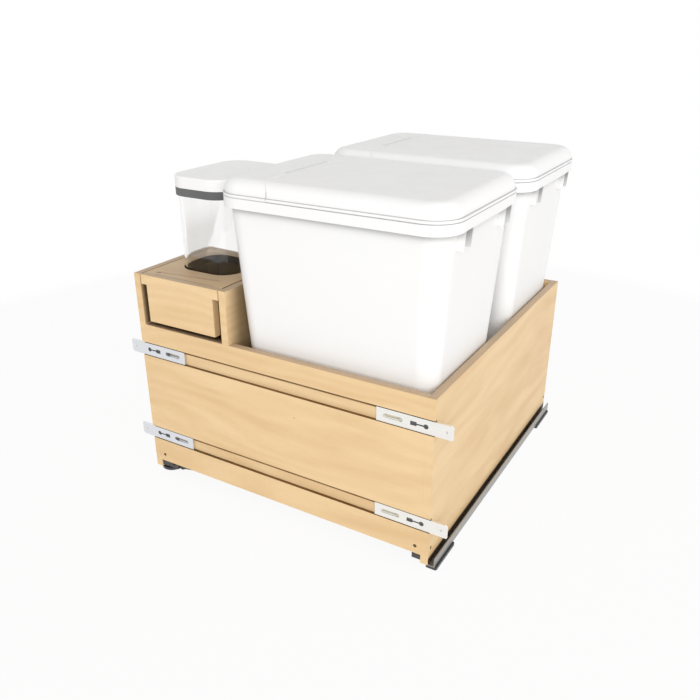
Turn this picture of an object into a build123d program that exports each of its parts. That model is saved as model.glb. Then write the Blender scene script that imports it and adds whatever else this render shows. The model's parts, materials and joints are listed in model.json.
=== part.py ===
"""Pull-out waste unit for a base cabinet, in millimetres.

+Z is up, the front face looks towards -Y, and the origin is on the cabinet floor under the
middle of the unit. A wooden box on two undermount slides carries two lidded bins and, in a
raised corner at the left front, a lift-out caddy that holds a storage canister.
"""

from build123d import *
import os

os.makedirs("parts", exist_ok=True)

# ------------------------------------------------------------------ driving sizes
# Boards and heights of the wooden box
board = 12.0                 # thickness of every main board
wall_height = 264.0          # low walls, above the sides' underside
tower_rise = 84.0            # raised corner above the low walls
ground_gap = 9.0             # sides' underside above the cabinet floor
panel_lift = 20.0            # bottom panel above the sides' underside
front_lift = 13.5            # front panel above the sides' underside
edge_ease = 1.0              # rounding of the exposed top edges

# Grooves in the front, with the door brackets that slide in them
groove_width = 23.5
groove_depth = 5.5
groove_below_top = 43.05     # middle of the upper groove below the low walls' top
lower_groove = 66.35         # middle of the lower groove above the sides' underside
bracket_length = 112.0
bracket_height = 21.0
bracket_thickness = 4.0
bracket_recess = 1.2         # front of the bracket behind the front face
bracket_reach = 24.9         # how far it stands out past the side
bracket_corner = 3.2         # cut-off outer corner
bracket_hole_radius = 2.0
bracket_hole_reach = 16.0    # hole's middle, outside the side of the box
lock_hole_radius = 3.5       # round hole for the locking clip
lock_hole_inset = 13.3       # from the side of the box, as for the next ones
lock_slot_inset = 31.5
lock_slot_length = 9.0
lock_slot_height = 6.0
lock_slit = 2.0
slot_start = 47.6            # long slot that the bracket slides by
slot_length = 28.9
slot_width = 6.0
slot_step = 2.2              # depth of the wide part of the slot
slot_shoulder = 1.0          # the slot is narrower by this at each side further in
clip_middle = 24.0
clip_length = 34.0
clip_height = 14.0
clip_pocket = 1.6
clip_thickness = 1.5
bracket_screw_radius = 1.6
bracket_screw_length = 17.0
bracket_head_radius = 2.7
bracket_head = 1.4

# Bins, along X, Y and Z
bin_length = 354.0
bin_width = 261.5
bin_height = 455.7
bin_corner = 41.0
bin_foot_corner = 22.0
bin_foot_round = 8.0
bin_wall = 2.5
bin_taper = 26.0             # the wall leans in this much from the skirt to the foot
bin_spacing = 24.5           # between the two rims
skirt_depth = 14.5           # turned-down rim
skirt_gap = 7.6              # between the rim's skirt and the wall
side_overhang = 6.5          # rims past the right side
rear_overhang = 4.5          # rear bin's rim past the back
pocket_depth = 2.0           # shallow pockets that keep the bins in place
rib_height = 25.0            # upright ribs under the rim, at both ends of a bin
rib_thickness = 2.5
rib_inset = 0.3              # outer edge behind the skirt's face
rib_slant = 1.5              # outer edge further in at its low end
rib_margins = (47.2, 70.6)   # from the rim's long sides to the ribs' sides that face them
rim_ease = 0.6               # chamfer at the parting line of rim and lid

# Lids of the bins
lid_flange = 4.4
lid_step = 2.2               # dome inside the flange's edge
lid_dome = 19.9
lid_round = 18.6
lid_wall = 2.2
lid_fixed = 92.0             # fixed end, from the lid's left edge to the seam
seam_gap = 0.6
seam_rise = 3.0              # upright part of the seam, above the flange
hinge_back = 17.5            # hinge line to the left of the seam
hinge_margin = 24.25         # from the rim's long sides to the ends of the hinge
barrel_radius = 4.5
barrel_gap = 1.5
fixed_knuckle = 49.0
lid_pin_radius = 1.5
pin_sink = 2.0               # pin's ends inside the outer knuckles

# Canister
jar_width = 102.0
jar_front = 56.0             # from the front face of the box
jar_depth = 91.0             # foot
jar_mouth_depth = 155.0      # the back leans outward above the wood
jar_corner = 30.0
jar_wall = 2.2
jar_foot_round = 6.0
jar_collar = 4.3             # upright part of the jar above the wood
jar_height = 183.7
cap_rim = 4.0                # gasket and cap outside the jar
gasket_height = 12.3
gasket_overlap = 5.0         # jar's mouth inside the gasket
cap_height = 17.3
cap_round = 3.0
cap_wall = 2.5
dimple_radius = 1.2          # two small recesses in the cap
dimple_depth = 0.6
dimple_shift_x = 24.0
dimple_shift_y = 21.0
hole_margin = 1.5            # round the jar, in the caddy's top

# Caddy
caddy_back_board = 6.0
caddy_ear = 15.8
cleat_width = 10.0
cleat_height = 16.0
cleat_start = 22.0           # from the front face
cleat_end_gap = 10.4         # from the cleats to the back board of the raised corner

# Slides
rail_sheet = 1.5
rail_starts = {"left": 10.5, "right": 4.2}     # from the front face, as for the next starts
rail_end_gap = 2.0           # past the back of the box
rail_margin = 2.0            # cabinet rail's floor past the drawer rail
rail_tongue = 14.0           # width of the cabinet rail's floor at its front end
rail_tongue_end = 28.0
rail_web = 15.8
rail_lip = 8.0
rail_corner = 2.0            # cut-off corners of the upright web
rail_bend = 1.3              # rounding outside the bend from the floor to the web
middle_margin = 5.0          # from the outer faces of the drawer rail to the middle rail
middle_setback = 8.0         # behind the front panel
middle_end_gap = 43.0        # short of the back of the box
middle_height = 17.2
carriage_height = 3.2
carriage_length = 60.0
carriage_round = 2.0
carriage_setbacks = (5.0, 180.0)
drawer_rail_width = 32.0
drawer_rail_leg = 15.0
foot_plate = 5.0             # floor brackets under the cabinet rails
foot_lip = 2.5               # past the outer face of the cabinet rail
foot_strip = 15.0            # inner side of the strip under the rail's web, from the web's face
foot_reach = 22.0            # wide part, past the inner side of the cabinet rail
foot_screw_reach = 11.0
foot_screw_radius = 2.6
foot_screw_margin = 11.0     # from the ends of the wide part
foot_corner = 3.0
foot_front_starts = {"left": 12.0, "right": 5.0}
foot_wide_start = 28.0
foot_front_end = 72.0
foot_rear_length = 75.0      # up to the back of the box
foot_nose_radius = 19.0      # round nose of the left front bracket
foot_nose_start = 4.4
foot_nose_inset = 23.4       # from the web's face to the middle of the nose
damper_length = 96.0
damper_end_gap = 47.0        # short of the back of the box
damper_radius = 5.0
damper_rod = 60.0
damper_rod_radius = 1.5
damper_saddle = 1.0
release_start = 2.0          # release clip, from the front face
release_widths = {"left": 31.4, "right": 11.2}     # its block, inward from the drawer rail's outer face
release_low = 12.0
release_tongue = 7.5         # tongue inside the drawer rail
release_arm = 1.7            # thickness of the arm that carries the lever
release_arm_width = 6.0
release_top_gap = 1.0
notch_inset = 19.7           # notch in the top of the left block, from the drawer rail's outer face
notch_width = 5.5
notch_depth = 4.0
lever_offset = 4.6           # lever's pin, inward from the drawer rail's inner face
lever_setbacks = {"left": 8.7, "right": 17.0}
lever_slants = {"left": 10.0, "right": 0.0}        # turned back, in degrees
lever_hub = 4.0
lever_pin_radius = 1.5
lever_pin_height = 8.0
lever_length = 38.0
lever_tip = 1.2
lever_height = 5.0

# Clearances
running_gap = 0.3            # between faces that slide past each other
bracket_rest_gap = 0.5       # under a door bracket, in its groove
pin_gap = 0.05               # round a turning pin
press_gap = 0.02             # round a pin that stays put
screw_gap = 0.05             # round a screw's shank
bin_pocket_gap = 2.0         # round the foot of a bin
bin_bay_gap = 0.5            # from the raised corner's inside to the rims
jar_side_gap = 2.2           # from the jar to the caddy's sides
jar_rear_gap = 5.8           # from the jar to the caddy's back
caddy_back_gap = 1.6
caddy_front_gap = 8.0        # under the caddy's front
caddy_side_gap = 1.7         # from the caddy's top to the raised corner's inside
caddy_cleat_gap = 2.3        # from the caddy's body to the cleats
side_rail_gap = 8.9          # from the box to the cabinet rails' outer faces
drawer_rail_gap = 3.1        # from the sides' inner faces to the drawer rails
case_gap = 0.1

# ------------------------------------------------------------------ sizes that follow
caddy_inside = jar_width + 2 * jar_side_gap
caddy_body = caddy_inside + 2 * board
bay_width = caddy_body + 2 * (cleat_width + caddy_cleat_gap)
caddy_top_width = bay_width - 2 * caddy_side_gap
tower_depth = jar_front + jar_depth + jar_rear_gap + caddy_back_board + caddy_back_gap + board
tower_height = wall_height + tower_rise
box_width = board + bay_width + bin_bay_gap + bin_length - side_overhang
box_depth = 2 * bin_width + bin_spacing - rear_overhang
upper_groove = wall_height - groove_below_top
caddy_lift = wall_height + caddy_front_gap
hinge_length = bin_width - 2 * hinge_margin
rail_spread = box_width + 2 * side_rail_gap
drawer_rail_inset = side_rail_gap + board + drawer_rail_gap
drawer_far = drawer_rail_inset + drawer_rail_width
rail_channel = drawer_far + rail_margin
middle_inset = drawer_rail_inset + middle_margin
middle_width = drawer_rail_width - 2 * middle_margin
middle_start = board + middle_setback
middle_length = box_depth - middle_end_gap - middle_start
lever_inset = drawer_far + lever_offset
bracket_drop = groove_width / 2 - bracket_rest_gap - bracket_height / 2

# ------------------------------------------------------------------ places
left = -box_width / 2
right = box_width / 2
front = -(box_depth + rear_overhang) / 2
back = front + box_depth
sill = ground_gap
wall_top = sill + wall_height
tower_top = sill + tower_height
tower_back = front + tower_depth
floor_under = sill + panel_lift
floor_top = floor_under + board
inner_left = left + board
inner_right = right - board
bay_right = inner_left + bay_width
bay_middle = inner_left + bay_width / 2


# ------------------------------------------------------------------ helpers
def across(y):
    """Upright sketch plane at y: X to the right, Z up."""
    return Plane.XZ.offset(-y)


def along(x):
    """Upright sketch plane at x: Y to the right, Z up."""
    return Plane.YZ.offset(x)


def slab(x, y, z, mode=Mode.ADD):
    """Rectangular block between two values along each axis."""
    with Locations((x[0], y[0], z[0])):
        Box(x[1] - x[0], y[1] - y[0], z[1] - z[0], align=(Align.MIN, Align.MIN, Align.MIN), mode=mode)


def rod(middle, radius, length, turn, mode=Mode.ADD):
    """Round bar about its middle, turned from upright by the angles in turn."""
    with Locations(middle):
        Cylinder(radius, length, rotation=turn, mode=mode)


def ease_tops(piece, low, axis):
    """Round the edges along an axis that lie at or above a height."""
    tops = piece.edges().filter_by(axis).filter_by_position(Axis.Z, low - 0.1, tower_top + 0.1)
    fillet(tops, edge_ease)


def save(piece, name):
    """Label a finished piece and write it."""
    piece.part.label = name
    export_step(piece.part, "parts/" + name + ".step")


def save_side(piece, name, side):
    """Write a piece that is drawn at the right; the left one is its mirror image."""
    if side == "left":
        with BuildPart() as twin:
            mirror(piece.part, about=Plane.YZ)
        piece = twin
    save(piece, name + "_" + side)


def save_pair(piece, name):
    """Write a piece of the right side and its mirror image at the left."""
    save_side(piece, name, "right")
    save_side(piece, name, "left")


# ------------------------------------------------------------------ screws of the box
screw_radius = 1.5
screw_head_radius = 2.4
screw_head = 2.0
screw_sink = 1.5
screw_bore_radius = 2.6
screw_bore_depth = 4.0
screw_corner = 21.0          # from the side of the box to the screws in front and back
screw_edge = 8.0             # from the front and back to the screws in the sides
panel_screw = 30.0
side_screw = 16.0
screw_height = floor_under + board / 2
box_screw_places = []
for hand in (-1, 1):
    for y, outward in ((front, -1), (back, 1)):
        through_panel = Plane((hand * (right - screw_corner), y, screw_height), z_dir=(0, outward, 0))
        through_side = Plane((hand * right, y - outward * screw_edge, screw_height), z_dir=(hand, 0, 0))
        box_screw_places.append((through_panel, panel_screw))
        box_screw_places.append((through_side, side_screw))


def bore_for_screws():
    """Sunk pilot holes for the screws of the box, cut from the piece being made."""
    for place, length in box_screw_places:
        with Locations(place):
            CounterBoreHole(screw_radius + screw_gap, screw_bore_radius, screw_bore_depth,
                            depth=screw_sink + length + screw_gap)


with BuildPart() as box_screws:
    for place, length in box_screw_places:
        with BuildSketch(place.offset(-screw_sink)):
            Circle(screw_head_radius)
        extrude(amount=-screw_head)
        with BuildSketch(place.offset(-screw_sink)):
            Circle(screw_radius)
        extrude(amount=-length)
save(box_screws, "box_screws")


# ------------------------------------------------------------------ boards of the box
def cut_grooves():
    """The two grooves across the front, open at both sides."""
    for height in (upper_groove, lower_groove):
        low = sill + height - groove_width / 2
        slab((left - 1, right + 1), (front - 1, front + groove_depth), (low, low + groove_width),
             Mode.SUBTRACT)


with BuildPart() as left_side:
    with BuildSketch(along(left)):
        with BuildLine():
            Polyline((front, sill), (back, sill), (back, wall_top), (tower_back, wall_top),
                     (tower_back, tower_top), (front, tower_top), close=True)
        make_face()
    extrude(amount=board)
    cut_grooves()
    bore_for_screws()
    ease_tops(left_side, wall_top, Axis.Y)
save(left_side, "left_side")

with BuildPart() as right_side:
    slab((inner_right, right), (front, back), (sill, wall_top))
    cut_grooves()
    bore_for_screws()
    ease_tops(right_side, wall_top, Axis.Y)
save(right_side, "right_side")

# The bracket screws pass through the front panel, at the outer end of each bracket's slot.
bracket_screw_inset = slot_start + slot_width / 2
bracket_levels = {"upper": sill + upper_groove - bracket_drop, "lower": sill + lower_groove - bracket_drop}
bracket_places = [(hand, height) for hand in (-1, 1) for height in bracket_levels.values()]

with BuildPart() as front_panel:
    slab((inner_left, inner_right), (front, front + board), (sill + front_lift, wall_top))
    cut_grooves()
    bore_for_screws()
    for hand, height in bracket_places:
        rod((hand * (right - bracket_screw_inset), front + board / 2, height),
            bracket_screw_radius + screw_gap, 2 * board, (90, 0, 0), Mode.SUBTRACT)
    ease_tops(front_panel, wall_top, Axis.X)
save(front_panel, "front_panel")

with BuildPart() as back_panel:
    slab((inner_left, inner_right), (back - board, back), (floor_under, wall_top))
    bore_for_screws()
    ease_tops(back_panel, wall_top, Axis.X)
save(back_panel, "back_panel")

# ------------------------------------------------------------------ bins and their places
bin_x = right + side_overhang - bin_length / 2
bin_right = bin_x + bin_length / 2
bin_places = {"front": front + bin_width / 2, "rear": back + rear_overhang - bin_width / 2}
pocket_floor = floor_top - pocket_depth
bin_floor = pocket_floor + running_gap
bin_top = bin_floor + bin_height
skirt_low = bin_top - skirt_depth
wall_inset = bin_wall + skirt_gap
lean = bin_taper / (skirt_low - bin_floor)
foot_inset = wall_inset + bin_taper
mouth_inset = wall_inset - lean * skirt_depth

with BuildPart() as bottom_panel:
    slab((inner_left, inner_right), (front + board, back - board), (floor_under, floor_top))
    with BuildSketch(Plane.XY.offset(pocket_floor)):
        for y in bin_places.values():
            with Locations((bin_x, y)):
                RectangleRounded(bin_length - 2 * foot_inset + 2 * bin_pocket_gap,
                                 bin_width - 2 * foot_inset + 2 * bin_pocket_gap, bin_foot_corner)
    extrude(amount=pocket_depth, mode=Mode.SUBTRACT)
    bore_for_screws()
save(bottom_panel, "bottom_panel")


def bin_body(y, skin):
    """The tapering body of a bin, drawn in by the thickness of skin; 0 gives its outside."""
    with BuildPart() as body:
        for level, inset, corner in ((bin_floor + skin, foot_inset + skin, bin_foot_corner - skin),
                                     (bin_top, mouth_inset + skin, bin_corner - mouth_inset - skin)):
            with BuildSketch(Plane.XY.offset(level)):
                with Locations((bin_x, y)):
                    RectangleRounded(bin_length - 2 * inset, bin_width - 2 * inset, corner)
        loft()
        fillet(body.faces().sort_by(Axis.Z)[0].edges(), bin_foot_round - skin)
    return body.part


def bin_shell(y):
    """A bin with a turned-down rim, two pairs of ribs under it at each end, and a hollow inside."""
    outside = bin_body(y, 0)
    hollow = bin_body(y, bin_wall)
    with BuildPart() as shell:
        add(outside)
        with BuildSketch(Plane.XY.offset(skirt_low)):
            with Locations((bin_x, y)):
                RectangleRounded(bin_length, bin_width, bin_corner)
                RectangleRounded(bin_length - 2 * bin_wall, bin_width - 2 * bin_wall,
                                 bin_corner - bin_wall, mode=Mode.SUBTRACT)
        extrude(amount=skirt_depth)
        with BuildSketch(Plane.XY.offset(bin_top - bin_wall)):
            with Locations((bin_x, y)):
                RectangleRounded(bin_length, bin_width, bin_corner)
        extrude(amount=bin_wall)
        rim_edges = shell.edges().filter_by_position(Axis.Z, bin_top - 0.1, bin_top + 0.1)
        chamfer(rim_edges, rim_ease)
        for hand in (-1, 1):
            end = bin_x + hand * bin_length / 2
            rib_low = skirt_low - rib_height
            rib_top = skirt_low + bin_wall
            with BuildSketch(across(y)):
                with BuildLine():
                    Polyline((end - hand * rib_inset, rib_top),
                             (end - hand * (rib_inset + rib_slant), rib_low),
                             (end - hand * (wall_inset + lean * rib_height + bin_wall / 2), rib_low),
                             (end - hand * (wall_inset + bin_wall / 2), rib_top), close=True)
                make_face()
            rib = extrude(amount=rib_thickness / 2, both=True, mode=Mode.PRIVATE)
            for margin in rib_margins:
                rib_shift = bin_width / 2 - margin - rib_thickness / 2
                add(rib.moved(Location((0, -rib_shift, 0))))
                add(rib.moved(Location((0, rib_shift, 0))))
        add(hollow, mode=Mode.SUBTRACT)
    return shell


# ------------------------------------------------------------------ lids of the bins
lid_top = bin_top + lid_flange + lid_dome
seam_x = bin_x - bin_length / 2 + lid_fixed
hinge_x = seam_x - hinge_back
hinge_z = lid_top - barrel_radius
edge_offset = barrel_radius + barrel_gap      # from the hinge line to a lid edge beside a barrel


def whole_lid(y, low):
    """The lid before it is parted: a flange on the rim and a hollow dome."""
    inset = lid_step + lid_wall
    with BuildPart() as hollow:
        with BuildSketch(Plane.XY.offset(bin_top - 1)):
            with Locations((bin_x, y)):
                RectangleRounded(bin_length - 2 * inset, bin_width - 2 * inset, bin_corner - inset)
        extrude(amount=1 + lid_flange + lid_dome - lid_wall)
        fillet(hollow.faces().sort_by(Axis.Z)[-1].edges(), lid_round - lid_wall)
    with BuildPart() as whole:
        with BuildSketch(Plane.XY.offset(bin_top + lid_flange)):
            with Locations((bin_x, y)):
                RectangleRounded(bin_length - 2 * lid_step, bin_width - 2 * lid_step, bin_corner - lid_step)
        extrude(amount=lid_dome)
        fillet(whole.faces().sort_by(Axis.Z)[-1].edges(), lid_round)
        with BuildSketch(Plane.XY.offset(low)):
            with Locations((bin_x, y)):
                RectangleRounded(bin_length, bin_width, bin_corner)
        extrude(amount=bin_top + lid_flange - low)
        chamfer(whole.faces().sort_by(Axis.Z)[0].edges(), rim_ease)
        add(hollow.part, mode=Mode.SUBTRACT)
    return whole


def cut_at_seam(y, shift, far_x):
    """Cut away the lid between the seam and far_x; the seam leans to the hinge near the top."""
    with BuildSketch(across(y)) as waste:
        with BuildLine():
            low = Line((seam_x + shift, bin_top - 5), (seam_x + shift, bin_top + lid_flange + seam_rise))
            curve = TangentArc(low @ 1, (hinge_x + edge_offset + shift, lid_top), tangent=low % 1)
            Polyline(curve @ 1, (hinge_x + edge_offset + shift, lid_top + 5), (far_x, lid_top + 5),
                     (far_x, bin_top - 5), low @ 0)
        make_face()
    extrude(waste.sketch, amount=bin_width, both=True, mode=Mode.SUBTRACT)


def barrel(middle_y, length):
    """One knuckle of a lid's hinge."""
    rod((hinge_x, middle_y, hinge_z), barrel_radius, length, (90, 0, 0))


barrel_clear = (lid_top - 2 * barrel_radius - barrel_gap, lid_top + 1)
knuckle_shift = (hinge_length - fixed_knuckle) / 2
moving_knuckle = hinge_length - 2 * fixed_knuckle - 2 * running_gap


def lid_strip(y):
    """The fixed end of a lid, with a knuckle at each end of the hinge."""
    whole = whole_lid(y, bin_top)
    with BuildPart() as strip:
        add(whole.part)
        cut_at_seam(y, -seam_gap, bin_right + 10)
        slab((hinge_x, seam_x), (y - hinge_length / 2, y + hinge_length / 2), barrel_clear, Mode.SUBTRACT)
        slab((hinge_x - edge_offset, seam_x), (y - moving_knuckle / 2 - running_gap,
             y + moving_knuckle / 2 + running_gap), barrel_clear, Mode.SUBTRACT)
        for shift in (-knuckle_shift, knuckle_shift):
            barrel(y + shift, fixed_knuckle)
        rod((hinge_x, y, hinge_z), lid_pin_radius + press_gap, hinge_length + 1, (90, 0, 0), Mode.SUBTRACT)
    return strip


def lid_flap(y):
    """The lifting part of a lid, with one knuckle in the middle of the hinge."""
    whole = whole_lid(y, bin_top + running_gap)
    with BuildPart() as flap:
        add(whole.part)
        cut_at_seam(y, 0, bin_x - bin_length / 2 - 10)
        slab((hinge_x, hinge_x + hinge_back), (y - moving_knuckle / 2, y + moving_knuckle / 2),
             (lid_top - lid_wall, lid_top))
        barrel(y, moving_knuckle)
        rod((hinge_x, y, hinge_z), lid_pin_radius + pin_gap, hinge_length, (90, 0, 0), Mode.SUBTRACT)
    return flap


for name, y in bin_places.items():
    save(bin_shell(y), "bin_" + name)
    save(lid_strip(y), "lid_strip_" + name)
    save(lid_flap(y), "lid_flap_" + name)
    with BuildPart() as lid_pin:
        rod((hinge_x, y, hinge_z), lid_pin_radius, hinge_length - 2 * pin_sink, (90, 0, 0))
    save(lid_pin, "lid_pin_" + name)


# ------------------------------------------------------------------ raised corner
with BuildPart() as partition:
    with BuildSketch(along(bay_right)):
        with BuildLine():
            Polyline((front + board, floor_top), (tower_back, floor_top), (tower_back, tower_top),
                     (front, tower_top), (front, wall_top), (front + board, wall_top), close=True)
        make_face()
    extrude(amount=board)
    ease_tops(partition, tower_top, Axis.Y)
save(partition, "partition")

with BuildPart() as organiser_back:
    slab((inner_left, bay_right), (tower_back - board, tower_back), (floor_top, tower_top))
    ease_tops(organiser_back, tower_top, Axis.X)
save(organiser_back, "organiser_back")

cleat_top = tower_top - board - running_gap
for name, low_x in (("left", inner_left), ("right", bay_right - cleat_width)):
    with BuildPart() as cleat:
        slab((low_x, low_x + cleat_width), (front + cleat_start, tower_back - board - cleat_end_gap),
             (cleat_top - cleat_height, cleat_top))
    save(cleat, "caddy_cleat_" + name)


# ------------------------------------------------------------------ lift-out caddy
caddy_low = sill + caddy_lift
caddy_top_low = tower_top - board
caddy_back_y = tower_back - board - caddy_back_gap
caddy_inside_y = caddy_back_y - caddy_back_board


def around_bay(width):
    """Two x values, the given distance apart, about the middle of the raised corner."""
    return (bay_middle - width / 2, bay_middle + width / 2)


with BuildPart() as caddy_front:
    slab(around_bay(caddy_body), (front, front + board), (caddy_low, tower_top))
    slab(around_bay(caddy_top_width), (front, front + board), (tower_top - caddy_ear, tower_top))
    ease_tops(caddy_front, tower_top, Axis.X)
save(caddy_front, "caddy_front")

with BuildPart() as caddy_top:
    slab(around_bay(caddy_top_width), (front + board, caddy_back_y), (caddy_top_low, tower_top))
    with BuildSketch(Plane.XY.offset(caddy_top_low)):
        with Locations((bay_middle, front + jar_front + jar_depth / 2)):
            RectangleRounded(jar_width + 2 * hole_margin, jar_depth + 2 * hole_margin,
                             jar_corner + hole_margin)
    extrude(amount=board, mode=Mode.SUBTRACT)
    hole_edge = caddy_top.faces().sort_by(Axis.Z)[-1].inner_wires()[0].edges()
    fillet(hole_edge, edge_ease)
save(caddy_top, "caddy_top")

inside = around_bay(caddy_inside)
outside = around_bay(caddy_body)
for name, x in (("left", (outside[0], inside[0])), ("right", (inside[1], outside[1]))):
    with BuildPart() as caddy_side:
        slab(x, (front + board, caddy_inside_y), (caddy_low, caddy_top_low))
    save(caddy_side, "caddy_side_" + name)

with BuildPart() as caddy_back:
    slab(outside, (caddy_inside_y, caddy_back_y), (caddy_low, caddy_top_low))
save(caddy_back, "caddy_back")

with BuildPart() as caddy_bottom:
    slab(inside, (front + board, caddy_inside_y), (caddy_low, caddy_low + board))
save(caddy_bottom, "caddy_bottom")


# ------------------------------------------------------------------ canister
jar_foot = caddy_low + board + running_gap
jar_top = jar_foot + jar_height
jar_straight = tower_top + jar_collar - jar_foot
gasket_low = jar_top - gasket_overlap
cap_low = gasket_low + gasket_height


def jar_outline(level, depth, inset):
    """Rounded outline round the jar, drawn in by the inset, with its front side kept in place."""
    with BuildSketch(Plane.XY.offset(level)) as outline:
        with Locations((bay_middle, front + jar_front + depth / 2)):
            RectangleRounded(jar_width - 2 * inset, depth - 2 * inset, jar_corner - inset)
    return outline.sketch


def jar_body(inset, low):
    """Upright foot and leaning shoulder of the jar, drawn in by the inset."""
    with BuildPart() as body:
        extrude(jar_outline(low, jar_depth, inset), amount=jar_foot + jar_straight - low)
        loft([jar_outline(jar_foot + jar_straight, jar_depth, inset).face(),
              jar_outline(jar_top, jar_mouth_depth, inset).face()])
        fillet(body.faces().sort_by(Axis.Z)[0].edges(), jar_foot_round - inset)
    return body.part


jar_hollow = jar_body(jar_wall, jar_foot + jar_wall)
with BuildPart() as canister_jar:
    add(jar_body(0, jar_foot))
    add(jar_hollow, mode=Mode.SUBTRACT)
save(canister_jar, "canister_jar")

with BuildPart() as canister_gasket:
    extrude(jar_outline(gasket_low, jar_mouth_depth, -cap_rim), amount=gasket_height)
    extrude(jar_outline(gasket_low, jar_mouth_depth, -running_gap), amount=gasket_overlap + running_gap,
            mode=Mode.SUBTRACT)
    extrude(jar_outline(gasket_low, jar_mouth_depth, cap_rim), amount=gasket_height, mode=Mode.SUBTRACT)
save(canister_gasket, "canister_gasket")

with BuildPart() as canister_cap:
    extrude(jar_outline(cap_low, jar_mouth_depth, -cap_rim), amount=cap_height)
    fillet(canister_cap.faces().sort_by(Axis.Z)[-1].edges(), cap_round)
    extrude(jar_outline(cap_low, jar_mouth_depth, cap_wall - cap_rim), amount=cap_height - cap_wall,
            mode=Mode.SUBTRACT)
    for hand in (-1, 1):
        with Locations((bay_middle + hand * dimple_shift_x,
                        front + jar_front + jar_mouth_depth / 2 + hand * dimple_shift_y,
                        cap_low + cap_height)):
            Cylinder(dimple_radius, 2 * dimple_depth, mode=Mode.SUBTRACT)
save(canister_cap, "canister_cap")


# ------------------------------------------------------------------ door brackets
bracket_front = front + bracket_recess
bracket_back = bracket_front + bracket_thickness


def door_bracket(hand, height):
    """A bracket in its groove; the right-hand one is the left-hand one turned half round."""

    def at(inset):
        return (hand * (right - inset), height)

    bracket_middle = bracket_length / 2 - bracket_reach
    with BuildPart() as bracket:
        with BuildSketch(across(bracket_front)):
            with Locations(at(bracket_middle)):
                Rectangle(bracket_length, bracket_height)
            outer = hand * (right + bracket_reach)
            with BuildLine(mode=Mode.PRIVATE) as corner:
                Polyline((outer, height + hand * bracket_height / 2),
                         (outer - hand * bracket_corner, height + hand * bracket_height / 2),
                         (outer, height + hand * (bracket_height / 2 - bracket_corner)), close=True)
            add(make_face(corner.edges(), mode=Mode.PRIVATE), mode=Mode.SUBTRACT)
            with Locations(at(-bracket_hole_reach)):
                Circle(bracket_hole_radius, mode=Mode.SUBTRACT)
            with Locations(at(lock_hole_inset)):
                Circle(lock_hole_radius, mode=Mode.SUBTRACT)
            with Locations(at(lock_slot_inset)):
                Rectangle(lock_slot_length, lock_slot_height, mode=Mode.SUBTRACT)
            with Locations(at((lock_hole_inset + lock_slot_inset) / 2)):
                Rectangle(lock_slot_inset - lock_hole_inset, lock_slit, mode=Mode.SUBTRACT)
            with Locations(at(slot_start + slot_length / 2)):
                SlotOverall(slot_length - 2 * slot_shoulder, slot_width - 2 * slot_shoulder,
                            mode=Mode.SUBTRACT)
        extrude(amount=-bracket_thickness)
        with BuildSketch(across(bracket_front)):
            with Locations(at(slot_start + slot_length / 2)):
                SlotOverall(slot_length, slot_width)
        extrude(amount=-slot_step, mode=Mode.SUBTRACT)
        with BuildSketch(across(bracket_back)):
            with Locations(at(clip_middle)):
                Rectangle(clip_length, clip_height)
        extrude(amount=clip_pocket, mode=Mode.SUBTRACT)
    return bracket


for hand, side in ((-1, "left"), (1, "right")):
    for level, height in bracket_levels.items():
        name = level + "_" + side
        save(door_bracket(hand, height), "door_bracket_" + name)
        with BuildPart() as clip:
            with BuildSketch(across(bracket_back - clip_pocket)):
                with Locations((hand * (right - clip_middle), height)):
                    Rectangle(clip_length - 2 * case_gap, clip_height - 2 * case_gap)
            extrude(amount=-clip_thickness)
        save(clip, "bracket_clip_" + name)

with BuildPart() as bracket_screws:
    head_back = bracket_front + slot_step - running_gap
    for hand, height in bracket_places:
        x = hand * (right - bracket_screw_inset)
        rod((x, head_back - bracket_head / 2, height), bracket_head_radius, bracket_head, (90, 0, 0))
        rod((x, head_back + bracket_screw_length / 2, height), bracket_screw_radius, bracket_screw_length,
            (90, 0, 0))
save(bracket_screws, "bracket_screws")


# ------------------------------------------------------------------ slides, right-hand side
rail_face = rail_spread / 2


def inward(low, high):
    """Two x values from distances inward of the right cabinet rail's outer face."""
    return (rail_face - high, rail_face - low)


rail_low = foot_plate
rail_bed = rail_low + rail_sheet
rail_top = rail_low + rail_web
rail_end = back + rail_end_gap
rail_whole = (front + rail_tongue_end, rail_end)


def near(axis, place):
    """Arguments that choose the edges at a place along an axis."""
    return axis, place - 0.1, place + 0.1


for side, start in rail_starts.items():
    rail_y = (front + start, rail_end)
    with BuildPart() as cabinet_rail:
        slab(inward(0, rail_channel), rail_whole, (rail_low, rail_bed))
        slab(inward(0, rail_tongue), rail_y, (rail_low, rail_bed))
        slab(inward(0, rail_sheet), rail_y, (rail_low, rail_top))
        slab(inward(rail_channel - rail_sheet, rail_channel), rail_whole, (rail_low, rail_low + rail_lip))
        web_corners = cabinet_rail.edges().filter_by(Axis.X).filter_by_position(*near(Axis.Z, rail_top))
        chamfer(web_corners, rail_corner)
        web_edges = cabinet_rail.edges().filter_by(Axis.Y).filter_by_position(*near(Axis.X, rail_face))
        fillet(web_edges.sort_by(Axis.Z)[0], rail_bend)
    save_side(cabinet_rail, "cabinet_rail", side)


def floor_plate(start, wide_start, end, side):
    """Bracket under a cabinet rail: a strip under its web, then a wide part with two screw holes."""
    with BuildPart() as plate:
        slab(inward(-foot_lip, foot_strip), (front + start, front + end), (0, foot_plate))
        slab(inward(-foot_lip, rail_channel + foot_reach), (front + wide_start, front + end), (0, foot_plate))
        fillet(plate.edges().filter_by(Axis.Z), foot_corner)
        if side == "left" and start < wide_start:
            rod((rail_face - foot_nose_inset, front + foot_nose_start + foot_nose_radius, foot_plate / 2),
                foot_nose_radius, foot_plate, (0, 0, 0))
        for y in (front + wide_start + foot_screw_margin, front + end - foot_screw_margin):
            with Locations((rail_face - rail_channel - foot_screw_reach, y, foot_plate)):
                Hole(foot_screw_radius, depth=foot_plate)
    return plate


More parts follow.
